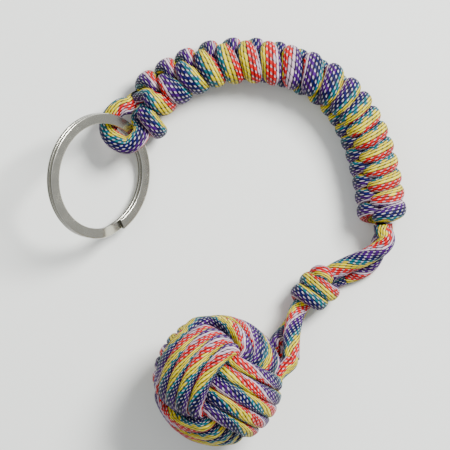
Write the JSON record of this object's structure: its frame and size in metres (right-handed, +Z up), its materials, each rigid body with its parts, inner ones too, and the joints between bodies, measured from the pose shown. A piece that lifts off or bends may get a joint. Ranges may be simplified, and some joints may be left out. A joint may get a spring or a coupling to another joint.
{
  "type": "monkey fist knot key fob",
  "caption": "Woven cord ball with a hard core, on a knotted neck and a long round sinnet handle of two strands that loops through a split ring.",
  "frame": {"origin": "on the table that the fob lies on, below the middle of its bounding box", "axes": "+Z up from the table; +Y from the fist towards the top of the handle's bow; +X from the split ring towards the handle's end"},
  "size_m": [0.0899, 0.103, 0.0316],
  "materials": {
    "cord": "braided nylon cord, rainbow stripes with white flecks",
    "ring_steel": "nickel plated spring steel",
    "ball_steel": "plain bearing ball, hidden"
  },
  "bodies": {
    "handle": {"handle_strand_a": "cord", "handle_strand_b": "cord"},
    "eye": {"ring_bight": "cord"},
    "ring": {"split_ring": "ring_steel"},
    "knot": {"stopper_knot": "cord", "neck_strand_a": "cord", "neck_strand_b": "cord"},
    "fist": {"fist_winding": "cord", "steel_ball": "ball_steel", "fist_strand_a": "cord", "fist_strand_b": "cord"}
  },
  "joints": [
    {"name": "bight_bend", "type": "hinge", "parent": "handle", "child": "eye", "pos_m": [-0.0215, 0.0355, 0.0053], "axis": [-0.7915, 0.6112, 0], "range_deg": [-75, 75], "deforming": ["ring_bight"]},
    {"name": "ring_turn", "type": "hinge", "parent": "eye", "child": "ring", "pos_m": [-0.0321, 0.0174, 0.0112], "axis": [0.6478, -0.103, 0.7548], "continuous": true},
    {"name": "neck_bend", "type": "hinge", "parent": "handle", "child": "knot", "pos_m": [0.0394, -0.0002, 0.0058], "axis": [0, 0, 1], "range_deg": [-20, 70], "deforming": ["neck_strand_a", "neck_strand_b"]},
    {"name": "fist_bend", "type": "hinge", "parent": "knot", "child": "fist", "pos_m": [0.0162, -0.0229, 0.007], "axis": [0, 0, 1], "range_deg": [-40, 60], "deforming": ["fist_strand_a", "fist_strand_b"]}
  ]
}
